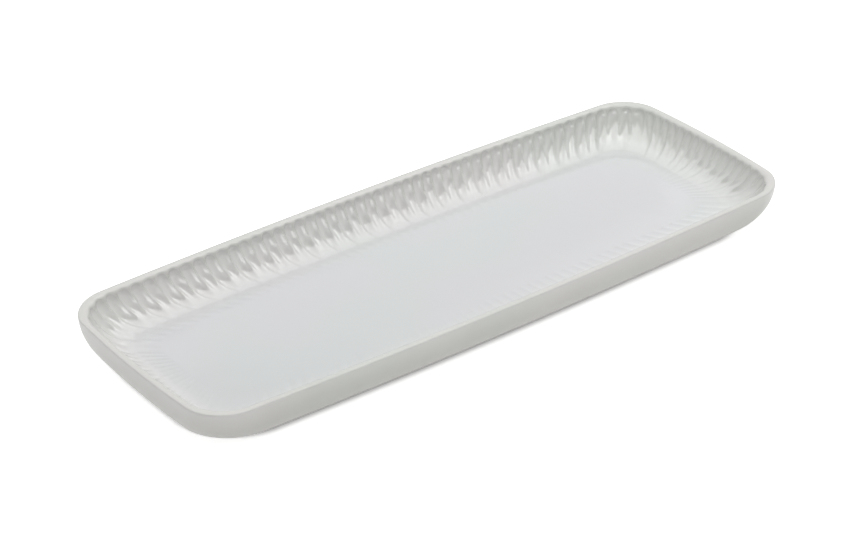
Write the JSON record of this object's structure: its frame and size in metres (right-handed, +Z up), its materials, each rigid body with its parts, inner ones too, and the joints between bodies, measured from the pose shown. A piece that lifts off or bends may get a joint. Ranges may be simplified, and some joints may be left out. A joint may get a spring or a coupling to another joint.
{
  "type": "snack platter",
  "caption": "Long narrow stoneware snack platter with rounded corners, a low wall fluted on the inside, a flat floor and a bare foot ring, for serving small bites.",
  "frame": {"origin": "middle of the platter's plan, at the surface that the foot ring stands on", "axes": "+X along the platter's length, +Y across its width, +Z up out of the well"},
  "size_m": [0.3, 0.11, 0.02],
  "materials": {
    "bare_stoneware": "matte, unglazed, fine grain",
    "gloss_glaze": "gloss, pale pearl white, thinner over the ridges and the rim"
  },
  "bodies": {
    "root": {"stoneware_body": "bare_stoneware", "inside_glaze": "gloss_glaze", "outside_glaze": "gloss_glaze", "underside_glaze": "gloss_glaze"}
  },
  "joints": []
}
